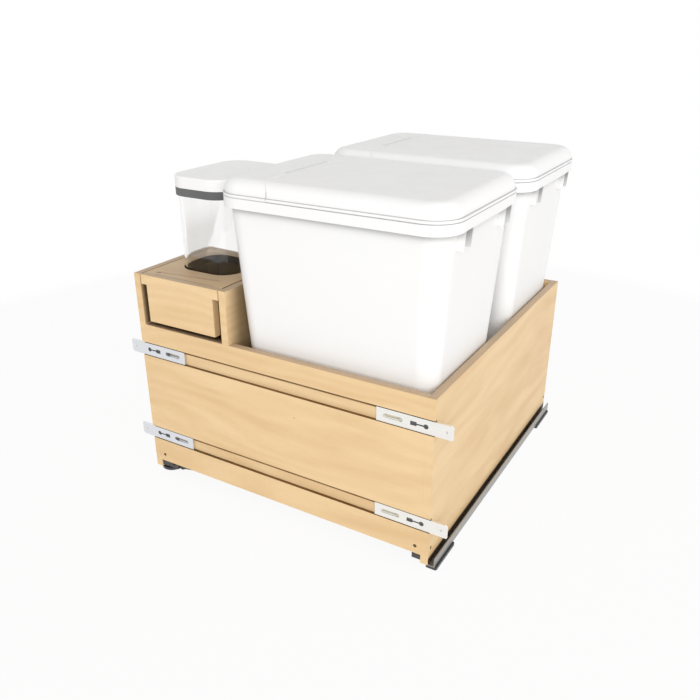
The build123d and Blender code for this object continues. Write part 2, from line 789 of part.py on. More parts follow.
foot_rear_start = box_depth - foot_rear_length
for side, start in foot_front_starts.items():
    save_side(floor_plate(start, foot_wide_start, foot_front_end, side), "floor_bracket_front", side)
    save_side(floor_plate(foot_rear_start, foot_rear_start, box_depth, side), "floor_bracket_rear", side)

middle_low = rail_bed + running_gap
middle_y = (front + middle_start, front + middle_start + middle_length)
middle_far = middle_inset + middle_width
carriage_low = middle_low + middle_height

with BuildPart() as middle_rail:
    slab(inward(middle_inset, middle_far), middle_y, (middle_low, carriage_low))
    slab(inward(middle_inset + rail_sheet, middle_far - rail_sheet), middle_y,
         (middle_low, carriage_low - rail_sheet), Mode.SUBTRACT)
save_pair(middle_rail, "middle_rail")

with BuildPart() as slide_carriages:
    for setback in carriage_setbacks:
        start = front + middle_start + setback
        slab(inward(middle_inset + 1, middle_far - 1), (start, start + carriage_length),
             (carriage_low, carriage_low + carriage_height))
    fillet(slide_carriages.edges().filter_by(Axis.Z), carriage_round)
save_pair(slide_carriages, "slide_carriages")

drawer_low = floor_under - drawer_rail_leg
drawer_y = (front + board, back - board)

with BuildPart() as drawer_rail:
    slab(inward(drawer_rail_inset, drawer_far), drawer_y, (drawer_low, floor_under))
    slab(inward(drawer_rail_inset + rail_sheet, drawer_far - rail_sheet), drawer_y,
         (drawer_low, floor_under - rail_sheet), Mode.SUBTRACT)
save_pair(drawer_rail, "drawer_rail")

damper_middle = rail_face - middle_inset - middle_width / 2
damper_y = back - damper_end_gap - damper_length
damper_z = rail_bed + damper_saddle + damper_radius
with BuildPart() as soft_close_damper:
    rod((damper_middle, damper_y + damper_length / 2, damper_z), damper_radius, damper_length, (90, 0, 0))
    rod((damper_middle, damper_y - damper_rod / 2, damper_z), damper_rod_radius, damper_rod, (90, 0, 0))
    for y in (damper_y, damper_y + damper_length - damper_radius):
        slab((damper_middle - damper_radius, damper_middle + damper_radius), (y, y + damper_radius),
             (rail_bed, damper_z))
save_pair(soft_close_damper, "soft_close_damper")

# Release clip under the front panel, with the lever that frees the box from its slides.
release_high = sill + front_lift - release_top_gap
tongue_far = drawer_far - rail_sheet - running_gap
lever_low = release_low + release_arm + running_gap
lever_x = rail_face - lever_inset
for side, setback in lever_setbacks.items():
    lever_y = front + setback
    arm_y = (lever_y - release_arm_width / 2, lever_y + release_arm_width / 2)
    with BuildPart() as release_clip:
        slab(inward(board + rail_face - right + running_gap, drawer_rail_inset + release_widths[side]),
             (front + release_start, front + board), (release_low, release_high))
        if side == "left":
            slab(inward(drawer_rail_inset + notch_inset, drawer_rail_inset + notch_inset + notch_width),
                 (front + release_start, front + board), (release_high - notch_depth, release_high),
                 Mode.SUBTRACT)
        slab(inward(drawer_rail_inset + rail_sheet + running_gap, tongue_far),
             (front + board, front + board + release_tongue), (release_low, floor_under - rail_sheet))
        slab(inward(tongue_far, lever_inset), arm_y, (release_low, release_low + release_arm))
        rod((lever_x, lever_y, release_low + release_arm / 2), lever_hub, release_arm, (0, 0, 0))
        rod((lever_x, lever_y, release_low + lever_pin_height / 2), lever_pin_radius, lever_pin_height,
            (0, 0, 0))
    save_side(release_clip, "release_clip", side)

    along_lever = Vector(-1, 0, 0).rotate(Axis.Z, -lever_slants[side])
    with BuildPart() as release_lever:
        with BuildSketch(Plane((lever_x, lever_y, lever_low), x_dir=along_lever, z_dir=(0, 0, 1))):
            Circle(lever_hub)
            with BuildLine():
                Polyline((0, -lever_hub), (lever_length, -lever_tip), (lever_length, lever_tip),
                         (0, lever_hub), close=True)
            make_face()
            Circle(lever_pin_radius + pin_gap, mode=Mode.SUBTRACT)
        extrude(amount=lever_height)
    save_side(release_lever, "release_lever", side)
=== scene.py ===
"""Looks of a pull-out waste unit: a maple box on slides, two lidded bins and a storage canister.

Every length is in metres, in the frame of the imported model: +Z is up and the front faces -Y.
"""

import bmesh
import bpy
import json
import math
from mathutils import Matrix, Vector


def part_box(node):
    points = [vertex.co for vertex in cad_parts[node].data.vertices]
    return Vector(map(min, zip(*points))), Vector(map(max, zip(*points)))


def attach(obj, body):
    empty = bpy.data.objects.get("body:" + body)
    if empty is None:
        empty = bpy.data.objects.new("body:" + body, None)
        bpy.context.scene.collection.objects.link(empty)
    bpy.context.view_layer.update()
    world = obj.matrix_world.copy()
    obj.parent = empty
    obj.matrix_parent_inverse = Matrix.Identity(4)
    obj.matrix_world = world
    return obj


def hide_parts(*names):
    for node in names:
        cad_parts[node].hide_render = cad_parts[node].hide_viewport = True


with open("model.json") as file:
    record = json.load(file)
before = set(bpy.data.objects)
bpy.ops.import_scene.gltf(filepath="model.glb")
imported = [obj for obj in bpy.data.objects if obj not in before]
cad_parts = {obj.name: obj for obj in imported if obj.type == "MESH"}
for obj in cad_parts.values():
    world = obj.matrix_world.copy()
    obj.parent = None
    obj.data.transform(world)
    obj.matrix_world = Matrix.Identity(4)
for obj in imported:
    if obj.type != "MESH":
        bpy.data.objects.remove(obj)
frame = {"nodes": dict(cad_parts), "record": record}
nodes = frame["nodes"]
slot_of = {part["node"]: part["material_slot"] for part in frame["record"]["subparts"]}
body_of = {node: body for body, members in frame["record"]["behaviour"]["bodies"].items() for node in members}
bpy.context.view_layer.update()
MM = 0.001


# ---------------------------------------------------------------- short words for shader nodes
def put(tree, kind, inputs=None, **settings):
    """Adds a node, sets what it is told, and sets or links its inputs."""
    made = tree.nodes.new(kind)
    for name, value in settings.items():
        setattr(made, name, value)
    for name, value in (inputs or {}).items():
        if isinstance(value, bpy.types.NodeSocket):
            tree.links.new(value, made.inputs[name])
        else:
            made.inputs[name].default_value = value
    return made


def maths(tree, operation, first, second=0.0, clamp=False):
    """One step of arithmetic on numbers or sockets."""
    return put(tree, "ShaderNodeMath", {0: first, 1: second}, operation=operation, use_clamp=clamp).outputs[0]


def product(tree, *factors):
    """All factors multiplied together."""
    result = factors[0]
    for factor in factors[1:]:
        result = maths(tree, "MULTIPLY", result, factor)
    return result


def distance_from(tree, value, middle):
    """How far a value is from a middle, on either side."""
    return maths(tree, "ABSOLUTE", maths(tree, "SUBTRACT", value, middle))


def facing_along(tree, component):
    """1 where a surface faces one way along an axis, given that part of its normal."""
    return above(tree, component, 0.5, 0.9)


def vectors(tree, operation, first, second, result="Vector"):
    """One step of arithmetic on vectors."""
    return put(tree, "ShaderNodeVectorMath", {0: first, 1: second}, operation=operation).outputs[result]


def above(tree, value, low, high):
    """0 up to low, 1 from high, and a smooth step between them."""
    step = put(tree, "ShaderNodeMapRange", {"Value": value, "From Min": low, "From Max": high},
               interpolation_type="SMOOTHSTEP")
    return step.outputs[0]


def between(tree, value, low, high, soft):
    """1 between two values, and 0 outside them, with soft ends."""
    rise = above(tree, value, low - soft, low)
    fall = above(tree, value, high, high + soft)
    return maths(tree, "SUBTRACT", rise, fall, clamp=True)


def tint(tree, share, first, second, mode="MIX"):
    """Mixes two colours by a share."""
    mixed = put(tree, "ShaderNodeMix", {0: share, 6: first, 7: second}, data_type="RGBA", blend_type=mode)
    return mixed.outputs[2]


def noise(tree, place, scale, detail=2.0, roughness=0.5):
    """Soft noise from 0 to 1."""
    made = put(tree, "ShaderNodeTexNoise",
               {"Vector": place, "Scale": scale, "Detail": detail, "Roughness": roughness})
    return made.outputs[0]


def stretched(tree, place, scale):
    """The place multiplied by a scale for each axis."""
    return vectors(tree, "MULTIPLY", place, scale)


def new_group(name, inputs, outputs):
    """A shader node group; gives the group, its sources and its results."""
    group = bpy.data.node_groups.new(name, "ShaderNodeTree")
    for label, kind, value in inputs:
        socket = group.interface.new_socket(label, in_out="INPUT", socket_type=kind)
        socket.default_value = value
    for label, kind in outputs:
        group.interface.new_socket(label, in_out="OUTPUT", socket_type=kind)
    return group, group.nodes.new("NodeGroupInput").outputs, group.nodes.new("NodeGroupOutput").inputs


def use_group(tree, group, inputs):
    """Places a group in a tree and gives its outputs."""
    placed = tree.nodes.new("ShaderNodeGroup")
    placed.node_tree = group
    for name, value in inputs.items():
        if isinstance(value, bpy.types.NodeSocket):
            tree.links.new(value, placed.inputs[name])
        else:
            placed.inputs[name].default_value = value
    return placed.outputs


def new_material(name):
    """An empty material with its shader; gives the material, its tree, the shader and the coordinates."""
    material = bpy.data.materials.new(name)
    material.use_nodes = True
    tree = material.node_tree
    shader = tree.nodes["Principled BSDF"]
    where = tree.nodes.new("ShaderNodeTexCoord").outputs
    return material, tree, shader, where


def raise_skin(tree, shader, height, distance, strength=1.0):
    """Feeds a height to the shader's normal."""
    bump = put(tree, "ShaderNodeBump", {"Height": height, "Distance": distance, "Strength": strength})
    tree.links.new(bump.outputs[0], shader.inputs["Normal"])


VECTOR, FLOAT, COLOUR = "NodeSocketVector", "NodeSocketFloat", "NodeSocketColor"


# ---------------------------------------------------------------- shared effects
def make_board_figure():
    """Figure of a maple board whose grain runs along the first axis of the place."""
    group, source, result = new_group(
        "board_figure",
        [("Place", VECTOR, (0, 0, 0)), ("Heart", VECTOR, (0, 0.06, -0.16)), ("Ring Spacing", FLOAT, 0.013)],
        [("Rings", FLOAT), ("Clouds", FLOAT), ("Fibres", FLOAT), ("Flecks", FLOAT)])
    place = source["Place"]
    drift = put(group, "ShaderNodeTexNoise",
                {"Vector": stretched(group, place, (2.2, 9, 9)), "Scale": 1.0, "Detail": 2.0}).outputs[1]
    bend = vectors(group, "MULTIPLY", vectors(group, "SUBTRACT", drift, (0.5, 0.5, 0.5)), (0, 0.075, 0.075))
    bent = vectors(group, "ADD", place, bend)
    from_heart = vectors(group, "MULTIPLY", vectors(group, "SUBTRACT", bent, source["Heart"]), (0, 1, 1))
    radius = put(group, "ShaderNodeVectorMath", {0: from_heart}, operation="LENGTH").outputs["Value"]
    turns = maths(group, "DIVIDE", radius, source["Ring Spacing"])
    wave = maths(group, "SINE", maths(group, "MULTIPLY", turns, 2 * math.pi))
    rings = above(group, wave, -1.0, 1.0)
    clouds = noise(group, stretched(group, bent, (4, 26, 26)), 1.0, 4.0, 0.62)
    fibres = noise(group, stretched(group, bent, (28, 1500, 1500)), 1.0, 2.0, 0.6)
    flecks = noise(group, stretched(group, bent, (55, 520, 520)), 1.0, 1.0)
    group.links.new(rings, result["Rings"])
    group.links.new(clouds, result["Clouds"])
    group.links.new(fibres, result["Fibres"])
    group.links.new(above(group, flecks, 0.74, 0.82), result["Flecks"])
    return group


FIBRE_BROWN = (0.62, 0.40, 0.20, 1)
FLECK_BROWN = (0.42, 0.24, 0.11, 1)
END_GRAIN_BROWN = (0.52, 0.34, 0.18, 1)
# painted shade: the brown that darkens the faces of the maple that face up
UPPER_FACE_SHADE_BROWN = (0.374, 0.267, 0.192, 1)


def make_maple_tone():
    """Colour, roughness and height of lacquered maple from its figure, with painted shade on upward faces."""
    group, source, result = new_group(
        "maple_tone",
        [("Rings", FLOAT, 0.0), ("Clouds", FLOAT, 0.0), ("Fibres", FLOAT, 0.0), ("Flecks", FLOAT, 0.0),
         ("End Grain", FLOAT, 0.0), ("Upper Face Shade", FLOAT, 0.0),
         ("Pale", COLOUR, (1, 1, 1, 1)), ("Deep", COLOUR, (1, 1, 1, 1))],
        [("Colour", COLOUR), ("Roughness", FLOAT), ("Height", FLOAT)])
    ring_share = maths(group, "MULTIPLY", source["Rings"], 0.30)
    cloud_share = above(group, source["Clouds"], 0.32, 0.70)
    share = maths(group, "ADD", ring_share, maths(group, "MULTIPLY", cloud_share, 0.62), clamp=True)
    colour = tint(group, share, source["Pale"], source["Deep"])
    fibre_share = maths(group, "MULTIPLY", above(group, source["Fibres"], 0.42, 0.75), 0.16)
    colour = tint(group, fibre_share, colour, FIBRE_BROWN)
    # flecks and end grain are in the wood; the brown of the faces that face up is painted shade
    for mark, share, stain in (("Flecks", 0.25, FLECK_BROWN), ("End Grain", 0.35, END_GRAIN_BROWN),
                               ("Upper Face Shade", 0.62, UPPER_FACE_SHADE_BROWN)):
        colour = tint(group, maths(group, "MULTIPLY", source[mark], share), colour, stain)
    rough = maths(group, "ADD", maths(group, "MULTIPLY", source["Clouds"], 0.10),
                  maths(group, "MULTIPLY", source["Fibres"], 0.08))
    group.links.new(colour, result["Colour"])
    group.links.new(maths(group, "ADD", rough, 0.36), result["Roughness"])
    group.links.new(maths(group, "SUBTRACT", source["Fibres"], source["Flecks"]), result["Height"])
    return group


def make_groove_shade():
    """Brown painted shade on the walls and in the upper corner of one groove."""
    group, source, result = new_group(
        "groove_shade",
        [("Place", VECTOR, (0, 0, 0)), ("Normal", VECTOR, (0, 0, 0)), ("Front", FLOAT, 0.0),
         ("Middle", FLOAT, 0.0), ("Half Width", FLOAT, 11.75 * MM), ("Corner Reach", FLOAT, 5.0 * MM)],
        [("Groove Shade", FLOAT)])
    place = put(group, "ShaderNodeSeparateXYZ", {0: source["Place"]}).outputs
    facing = put(group, "ShaderNodeSeparateXYZ", {0: source["Normal"]}).outputs
    depth = maths(group, "SUBTRACT", place["Y"], source["Front"])
    inside = between(group, depth, 0.4 * MM, 6.2 * MM, 0.2 * MM)
    height = maths(group, "SUBTRACT", place["Z"], source["Middle"])
    reach = maths(group, "SUBTRACT", source["Half Width"], maths(group, "ABSOLUTE", height))
    inside = maths(group, "MULTIPLY", inside, above(group, reach, -0.9 * MM, -0.5 * MM))
    wall = above(group, maths(group, "ABSOLUTE", facing["Z"]), 0.4, 0.8)
    from_top = maths(group, "SUBTRACT", source["Half Width"], height)
    corner = above(group, maths(group, "SUBTRACT", from_top, source["Corner Reach"]), 0.5 * MM, -0.3 * MM)
    floor = maths(group, "MULTIPLY", corner, above(group, maths(group, "ABSOLUTE", facing["Y"]), 0.5, 0.9))
    patchy = noise(group, stretched(group, source["Place"], (30, 200, 200)), 1.0)
    marked = maths(group, "MULTIPLY", maths(group, "MAXIMUM", wall, floor),
                   maths(group, "ADD", maths(group, "MULTIPLY", patchy, 0.5), 0.7))
    group.links.new(maths(group, "MULTIPLY", inside, marked, clamp=True), result["Groove Shade"])
    return group


def make_moulded_skin():
    """Fine pebbled skin and slow flow marks of moulded plastic."""
    group, source, result = new_group(
        "moulded_skin",
        [("Place", VECTOR, (0, 0, 0)), ("Pebble Size", FLOAT, 0.0012)],
        [("Flow", FLOAT), ("Pebbles", FLOAT)])
    fine = vectors(group, "DIVIDE", source["Place"],
                   put(group, "ShaderNodeCombineXYZ", {0: source["Pebble Size"], 1: source["Pebble Size"],
                                                       2: source["Pebble Size"]}).outputs[0])
    group.links.new(noise(group, stretched(group, source["Place"], (7, 7, 3)), 1.0, 3.0), result["Flow"])
    group.links.new(noise(group, fine, 1.0, 2.0, 0.4), result["Pebbles"])
    return group


def make_settled_dust():
    """Mask of the little dust that settles on what faces up."""
    group, source, result = new_group(
        "settled_dust",
        [("Place", VECTOR, (0, 0, 0)), ("Normal", VECTOR, (0, 0, 1))],
        [("Dust", FLOAT)])
    facing = put(group, "ShaderNodeSeparateXYZ", {0: source["Normal"]}).outputs["Z"]
    patches = noise(group, source["Place"], 34.0, 4.0, 0.7)
    dust = maths(group, "MULTIPLY", above(group, facing, 0.55, 0.95), above(group, patches, 0.38, 0.72))
    group.links.new(dust, result["Dust"])
    return group


def make_rolled_steel():
    """Rolling streaks along one axis, and the slight mottle of plating."""
    group, source, result = new_group(
        "rolled_steel",
        [("Place", VECTOR, (0, 0, 0)), ("Stretch", VECTOR, (1500, 40, 1500))],
        [("Streaks", FLOAT), ("Mottle", FLOAT)])
    streaks = noise(group, vectors(group, "MULTIPLY", source["Place"], source["Stretch"]), 1.0, 3.0, 0.6)
    group.links.new(streaks, result["Streaks"])
    group.links.new(noise(group, source["Place"], 220.0, 3.0, 0.6), result["Mottle"])
    return group


def make_screw_bore_shade():
    """Mask of painted shade on the walls and floors of the bores for the screws of the box."""
    group, source, result = new_group("screw_bore_shade", [("Place", VECTOR, (0, 0, 0))], [("Bore", FLOAT)])
    place = put(group, "ShaderNodeSeparateXYZ", {0: source["Place"]}).outputs
    rise = maths(group, "SUBTRACT", place["Z"], SCREW_HEIGHT)
    aside = maths(group, "SUBTRACT", maths(group, "ABSOLUTE", place["X"]), SCREW_ASIDE)
    nearest = maths(group, "ABSOLUTE", aside)
    for screw_y in SCREW_YS:
        nearest = maths(group, "MINIMUM", nearest, distance_from(group, place["Y"], screw_y))
    square = maths(group, "ADD", product(group, rise, rise), product(group, nearest, nearest))
    distance = maths(group, "SQRT", square)
    group.links.new(above(group, distance, 2.78 * MM, 2.64 * MM), result["Bore"])
    return group


JOINT_SHARE, STEP_SHARE, SEAM_SHARE, HINGE_SHARE, UNDER_RIM_SHARE = 0.42, 0.46, 0.34, 0.30, 0.42
RIB_SHARE_LOW, RIB_SHARE_RISE = 0.25, 0.45


def make_rim_shade():
    """Painted shade, fixed to the bins and lids at rest: under a rim and between its ribs, in its joint
    with the lid, on the lid's step, in the lower part of its seam and beside its hinge's near knuckle."""
    group, source, result = new_group("rim_shade", [("Place", VECTOR, (0, 0, 0))], [("Shade", FLOAT)])
    place = put(group, "ShaderNodeSeparateXYZ", {0: source["Place"]}).outputs
    height = maths(group, "SUBTRACT", place["Z"], RIM_TOP)
    rear = above(group, place["Y"], -0.1 * MM, 0.1 * MM)
    middle = maths(group, "SUBTRACT", maths(group, "MULTIPLY", rear, 2 * BIN_SHIFT), BIN_SHIFT)
    from_middle = maths(group, "SUBTRACT", place["Y"], middle)
    from_end = maths(group, "SUBTRACT", BIN_HALF, distance_from(group, place["X"], BIN_X))
    from_hinge = maths(group, "SUBTRACT", place["X"], HINGE_X)

    joint = between(group, height, -0.5 * MM, 0.85 * MM, 0.2 * MM)
    step = between(group, height, 4.3 * MM, 4.95 * MM, 0.15 * MM)
    seam = product(group, between(group, from_hinge, 16.3 * MM, 17.9 * MM, 0.4 * MM),
                   between(group, height, 5 * MM, 12 * MM, 3 * MM))
    beside_hinge = product(group, between(group, from_hinge, 3.2 * MM, 5.8 * MM, 0.5 * MM),
                           between(group, from_middle, -106.0 * MM, -60.0 * MM, 2 * MM),
                           above(group, height, 17 * MM, 19 * MM))
    under_rim = product(group, above(group, height, -34 * MM, -14.6 * MM),
                        above(group, height, -14.1 * MM, -14.5 * MM))
    lines = maths(group, "MULTIPLY", joint, JOINT_SHARE)
    for line, share in ((step, STEP_SHARE), (seam, SEAM_SHARE), (beside_hinge, HINGE_SHARE),
                        (product(group, under_rim, under_rim), UNDER_RIM_SHARE)):
        lines = maths(group, "MAXIMUM", lines, maths(group, "MULTIPLY", line, share))

    between_ribs = between(group, maths(group, "ABSOLUTE", from_middle), 60.0 * MM, 81.1 * MM, 0.05 * MM)
    deepness = maths(group, "MULTIPLY", above(group, height, -42 * MM, -14 * MM), RIB_SHARE_RISE)
    ribs = product(group, between_ribs, above(group, from_end, 12.5 * MM, 12.2 * MM),
                   above(group, height, -39.8 * MM, -39.4 * MM), above(group, height, -13.0 * MM, -14.2 * MM),
                   maths(group, "ADD", deepness, RIB_SHARE_LOW))
    group.links.new(maths(group, "MAXIMUM", lines, ribs, clamp=True), result["Shade"])
    return group


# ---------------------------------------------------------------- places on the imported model
front_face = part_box("front_panel")[0].y
back_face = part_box("back_panel")[1].y
right_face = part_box("right_side")[1].x
wall_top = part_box("right_side")[1].z
SCREW_HEIGHT = (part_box("bottom_panel")[0].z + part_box("bottom_panel")[1].z) / 2
SCREW_ASIDE = right_face - 21 * MM
SCREW_YS = (front_face + 8 * MM, back_face - 8 * MM)
RIM_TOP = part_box("bin_front")[1].z
BIN_SHIFT = (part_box("bin_rear")[0].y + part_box("bin_rear")[1].y) / 2
BIN_X = (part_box("bin_front")[0].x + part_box("bin_front")[1].x) / 2
BIN_HALF = (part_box("bin_front")[1].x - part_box("bin_front")[0].x) / 2
HINGE_X = (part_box("lid_pin_front")[0].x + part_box("lid_pin_front")[1].x) / 2
# the cap's middle, which is also the middle of the caddy along X
CAP_X = (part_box("canister_cap")[0].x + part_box("canister_cap")[1].x) / 2
CAP_Y = (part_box("canister_cap")[0].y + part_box("canister_cap")[1].y) / 2

board_figure = make_board_figure()
maple_tone = make_maple_tone()
groove_shade = make_groove_shade()
moulded_skin = make_moulded_skin()
settled_dust = make_settled_dust()
rolled_steel = make_rolled_steel()
screw_bore_shade = make_screw_bore_shade()
rim_shade = make_rim_shade()


# ---------------------------------------------------------------- maple boards
GRAIN_TURN = {"x": ("X", "Y", "Z"), "y": ("Y", "Z", "X"), "z": ("Z", "X", "Y")}
PALE_MAPLE = (0.800, 0.588, 0.335, 1)
DEEP_MAPLE = (0.695, 0.475, 0.248, 1)
# painted shade in the grooves
GROOVE_SHADE_BROWN = (0.150, 0.066, 0.012, 1)
SHADOW = (0.030, 0.017, 0.007, 1)
FRONT_SHIFT = (0.31, 0.02, -0.14)
ROSY = (0.40, 0.23, 0.14, 1)
KNOT = (0.20, 0.10, 0.05, 1)
SLOT_FLOORS_SHADED_AND_LIT = ((0.40, 0.37, 0.33, 1), (0.60, 0.57, 0.44, 1))     # painted shade behind the left brackets and painted light behind the right ones
KNOT_PLACE = (-224 * MM, front_face + 19.5 * MM)
FLECK_PLACE = (35.7 * MM, 183.6 * MM)
# how far each painted shade or mark covers the wood at its deepest
SHARES = {"beside_bin": 0.6, "beside_caddy": 0.85, "under_caddy": 0.8, "caddy_seams": 0.8,
          "caddy_flanks": 0.75, "caddy_inside": 0.6, "jar_hole": 0.85, "screw_bore_shade": 0.8,
          "small_knot": 0.8, "knot_trail": 0.55, "front_fleck": 0.55}
BRACKET_DROP = 0.75 * MM        # a bracket's middle under the middle of its groove
GROOVES = {"upper": 5.8 * MM, "lower": 6.9 * MM}     # how far down the painted shade in the groove's upper corner reaches


def groove_middle(level):
    """Height of the middle of a groove, from the bracket that lies in it."""
    low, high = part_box("door_bracket_" + level + "_left")
    return (low.z + high.z) / 2 + BRACKET_DROP


def maple_figure(tree, axes, grain, shift):
    """The figure with its grain along one axis; the shift picks the piece of wood."""
    turned = put(tree, "ShaderNodeCombineXYZ",
                 {i: axes[axis] for i, axis in enumerate(GRAIN_TURN[grain])}).outputs[0]
    return use_group(tree, board_figure, {"Place": vectors(tree, "ADD", turned, shift)})


def mixed_values(tree, share, first, second):
    """Mixes two numbers by a share."""
    return put(tree, "ShaderNodeMix", {0: share, 2: first, 3: second}, data_type="FLOAT").outputs[0]


def behind_slots(tree, axes, facing, level):
    """The pale floor of a groove that shows through the long slots of the brackets."""
    aside = maths(tree, "SUBTRACT", right_face, maths(tree, "ABSOLUTE", axes["X"]))
    along = between(tree, aside, 46 * MM, 78 * MM, 0.3 * MM)
    height = maths(tree, "SUBTRACT", axes["Z"], groove_middle(level) - BRACKET_DROP)
    level_with = between(tree, height, -4 * MM, 4 * MM, 0.3 * MM)
    deep = above(tree, maths(tree, "SUBTRACT", axes["Y"], front_face), 5.2 * MM, 5.4 * MM)
    forward = facing_along(tree, maths(tree, "MULTIPLY", facing["Y"], -1.0))
    return product(tree, along, level_with, deep, forward)


def lit_by_side(tree, where, left, right):
    """One colour at the left of the unit and another at the right, as the photo's light shows them."""
    side = put(tree, "ShaderNodeSeparateXYZ", {0: where["Object"]}).outputs["X"]
    return tint(tree, above(tree, side, -1 * MM, 1 * MM), left, right)


def maple(name, grain, shift, front_figure=False, grooved=False, painted_shade=1.0, shades=(), stains=()):
    """Lacquered maple, with painted shade on its upward faces. front_figure lets the end that faces forward
    show the front board's figure, shades are functions that give masks of deep shadow, and stains pair
    such a function with a colour."""
    material, tree, shader, where = new_material(name)
    axes = put(tree, "ShaderNodeSeparateXYZ", {0: where["Object"]}).outputs
    facing = put(tree, "ShaderNodeSeparateXYZ", {0: where["Normal"]}).outputs
    figure = maple_figure(tree, axes, grain, shift)
    shown = {label: figure[label] for label in ("Rings", "Clouds", "Fibres", "Flecks")}
    end_grain = above(tree, maths(tree, "ABSOLUTE", facing[grain.upper()]), 0.6, 0.9)
    if front_figure:
        forward = facing_along(tree, maths(tree, "MULTIPLY", facing["Y"], -1.0))
        front_view = maple_figure(tree, axes, "x", FRONT_SHIFT)
        shown = {label: mixed_values(tree, forward, value, front_view[label])
                 for label, value in shown.items()}
        end_grain = maths(tree, "SUBTRACT", end_grain, forward, clamp=True)
    # painted shade: faces that face up are darkened, less on the caddy's top
    upper_face_shade = maths(tree, "MULTIPLY", above(tree, facing["Z"], 0.5, 0.9), painted_shade)
    tone = use_group(tree, maple_tone, dict(shown, **{
        "End Grain": end_grain, "Upper Face Shade": upper_face_shade, "Pale": PALE_MAPLE, "Deep": DEEP_MAPLE}))
    colour = tone["Colour"]
    if grooved:
        for level, reach in GROOVES.items():
            # painted shade on the groove's walls and in its upper corner
            groove_shade_outputs = use_group(tree, groove_shade, {"Place": where["Object"], "Normal": where["Normal"],
                                                 "Front": front_face, "Middle": groove_middle(level),
                                                 "Corner Reach": reach})
            colour = tint(tree, groove_shade_outputs["Groove Shade"], colour, GROOVE_SHADE_BROWN)
            # painted light and shade: the floor seen through the slots is darker at the left and paler at the
            # right
            slot_floor = lit_by_side(tree, where, *SLOT_FLOORS_SHADED_AND_LIT)
            colour = tint(tree, behind_slots(tree, axes, facing, level), colour, slot_floor)
    for mark, stain in stains:
        colour = tint(tree, mark(tree, axes, facing), colour, stain)
    for shade in shades:
        colour = tint(tree, shade(tree, axes, facing), colour, SHADOW)
    # painted shade in the screw bores
    bore_shade = use_group(tree, screw_bore_shade, {"Place": where["Object"]})
    colour = tint(tree, maths(tree, "MULTIPLY", bore_shade["Bore"], SHARES["screw_bore_shade"]), colour, SHADOW)
    tree.links.new(colour, shader.inputs["Base Color"])
    tree.links.new(tone["Roughness"], shader.inputs["Roughness"])
    shader.inputs["Specular IOR Level"].default_value = 0.35
    raise_skin(tree, shader, tone["Height"], 0.06 * MM)
    return material


# Painted shade: masks fixed to the part at rest, so a piece that is lifted out keeps its dark faces.
def beside_slide(tree, axes, facing):
    """The foot of the right side's outer face, in the gap behind the rail."""
    return product(tree, facing_along(tree, facing["X"]), above(tree, axes["Z"], 23 * MM, 18 * MM))


def behind_front(tree, axes, low, high):
    """0 up to one distance behind the front face, and 1 from another."""
    return above(tree, maths(tree, "SUBTRACT", axes["Y"], front_face), low, high)


def sideways(tree, facing):
    """1 where a surface faces left or right."""
    return facing_along(tree, maths(tree, "ABSOLUTE", facing["X"]))


def beside_bin(tree, axes, facing):
    """The right face of the partition, deeper towards the bin."""
    return product(tree, facing_along(tree, facing["X"]), behind_front(tree, axes, -6 * MM, 34 * MM),
                   SHARES["beside_bin"])


def beside_caddy(tree, axes, facing):
    """The left side's inner face beside the caddy, deeper towards the back."""
    raised = above(tree, axes["Z"], wall_top + 0.5 * MM, wall_top + 1.5 * MM)
    return product(tree, facing_along(tree, facing["X"]), raised,
                   behind_front(tree, axes, -3 * MM, 9 * MM), SHARES["beside_caddy"])


def under_caddy(tree, axes, facing):
    """The front panel's top edge under the caddy, deeper towards the back."""
    partition_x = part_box("partition")[0].x
    beside = above(tree, axes["X"], partition_x + 1 * MM, partition_x)
    return product(tree, facing_along(tree, facing["Z"]), beside,
                   behind_front(tree, axes, -3 * MM, 11 * MM), SHARES["under_caddy"])


def caddy_seams(tree, axes, facing):
    """The outer sides of the caddy's top, in the narrow gaps beside it."""
    return product(tree, sideways(tree, facing), SHARES["caddy_seams"])


def caddy_flanks(tree, axes, facing):
    """The outer faces of the caddy's sides, in the dark of the raised corner."""
    outside = above(tree, distance_from(tree, axes["X"], CAP_X), 62 * MM, 64 * MM)
    return product(tree, sideways(tree, facing), outside, SHARES["caddy_flanks"])


def caddy_inside(tree, axes, facing):
    """The inner faces round the jar."""
    inside = above(tree, distance_from(tree, axes["X"], CAP_X), 55 * MM, 54 * MM)
    return product(tree, inside, SHARES["caddy_inside"])


def jar_hole(tree, axes, facing):
    """The wall of the hole for the jar."""
    upright = above(tree, maths(tree, "ABSOLUTE", facing["Z"]), 0.7, 0.3)
    inside = above(tree, distance_from(tree, axes["X"], CAP_X), 60 * MM, 58 * MM)
    return product(tree, upright, inside, SHARES["jar_hole"])


# Marks in the wood
def spot(tree, across, along, centre, reach):
    """A soft oval spot: its centre and its reach along two axes."""
    first = maths(tree, "DIVIDE", maths(tree, "SUBTRACT", across, centre[0]), reach[0])
    second = maths(tree, "DIVIDE", maths(tree, "SUBTRACT", along, centre[1]), reach[1])
    square = maths(tree, "ADD", product(tree, first, first), product(tree, second, second))
    return above(tree, maths(tree, "SQRT", square), 1.0, 0.4)


def small_knot(tree, axes, facing):
    """A small knot near the left front corner of the caddy's top."""
    return product(tree, spot(tree, axes["X"], axes["Y"], KNOT_PLACE, (7 * MM, 3.6 * MM)),
                   SHARES["small_knot"])


